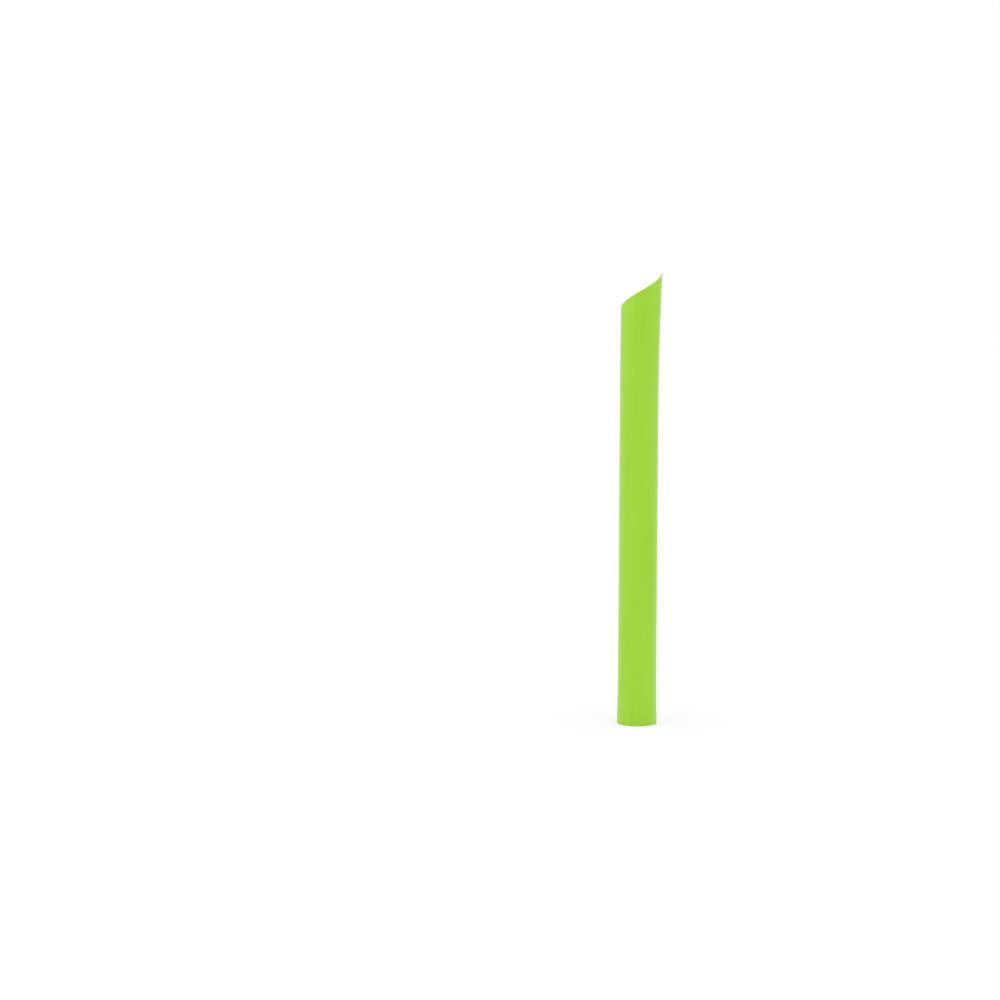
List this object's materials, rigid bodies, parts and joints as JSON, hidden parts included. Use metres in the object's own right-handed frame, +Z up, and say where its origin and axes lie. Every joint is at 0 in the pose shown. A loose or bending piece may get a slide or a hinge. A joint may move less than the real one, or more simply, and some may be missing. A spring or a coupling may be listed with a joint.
{
  "type": "drinking straw",
  "caption": "Wide plastic drinking straw: a plain thin-walled tube, cut square at the foot and slanted to a piercing point at the top.",
  "frame": {"origin": "on the axis of the round barrel, at the square end that the straw stands on", "axes": "+Z up the barrel to the pointed end, +X towards the tip of the point"},
  "size_m": [0.0132, 0.012, 0.14],
  "materials": {
    "straw_plastic": "satin"
  },
  "bodies": {
    "root": {"straw": "straw_plastic"}
  },
  "joints": []
}
